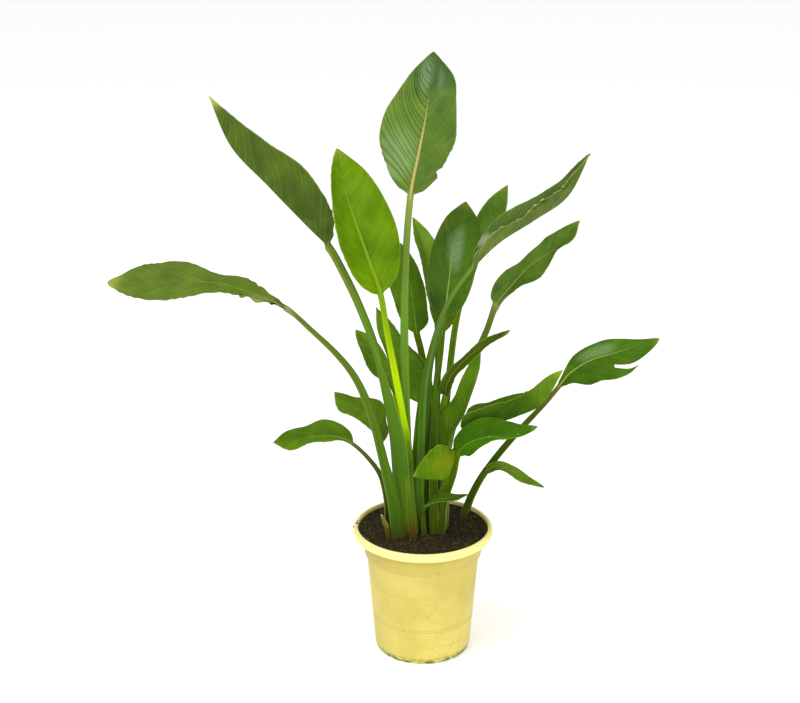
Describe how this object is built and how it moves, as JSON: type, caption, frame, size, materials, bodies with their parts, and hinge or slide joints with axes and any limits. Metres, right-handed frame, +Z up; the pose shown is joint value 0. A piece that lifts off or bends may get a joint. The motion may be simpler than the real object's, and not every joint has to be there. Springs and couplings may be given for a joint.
{
  "type": "potted bird of paradise plant",
  "caption": "Potted bird of paradise: long-stalked paddle leaves rise in a fan from dark soil in a pale yellow round pot with a rolled rim.",
  "frame": {"origin": "centre of the pot's flat underside, where the plant stands", "axes": "+Z up, +X to the right and -Y towards the front of the plant"},
  "size_m": [0.642, 0.1757, 0.733],
  "materials": {
    "pot_plastic": "satin",
    "potting_soil": "rough, moist",
    "green_leaf": "waxy, semi-gloss",
    "olive_leaf": "satin underside",
    "bright_leaf_skin": "waxy, semi-gloss",
    "dark_leaf": "waxy, semi-gloss",
    "yellowing_leaf": "satin",
    "dry_sheath": "papery, dull"
  },
  "bodies": {
    "root": {"pot": "pot_plastic", "soil": "potting_soil", "tall_leaf": "green_leaf", "upper_left_leaf": "olive_leaf", "bright_leaf": "bright_leaf_skin", "far_left_leaf": "green_leaf", "upper_right_leaf": "olive_leaf", "dark_middle_leaf": "dark_leaf", "small_back_leaf": "green_leaf", "dark_back_leaf": "dark_leaf", "light_back_leaf": "green_leaf", "right_leaf": "green_leaf", "split_right_leaf": "green_leaf", "lower_right_leaf": "olive_leaf", "bright_lower_leaf": "bright_leaf_skin", "drooping_leaf": "green_leaf", "low_left_leaf": "green_leaf", "left_middle_leaf": "green_leaf", "left_inner_leaf": "green_leaf", "centre_leaf": "dark_leaf", "short_right_leaf": "green_leaf", "narrow_leaf": "olive_leaf", "yellow_leaf": "yellowing_leaf", "soil_leaf": "green_leaf", "young_leaf": "bright_leaf_skin", "dried_sheath": "dry_sheath"}
  },
  "joints": []
}
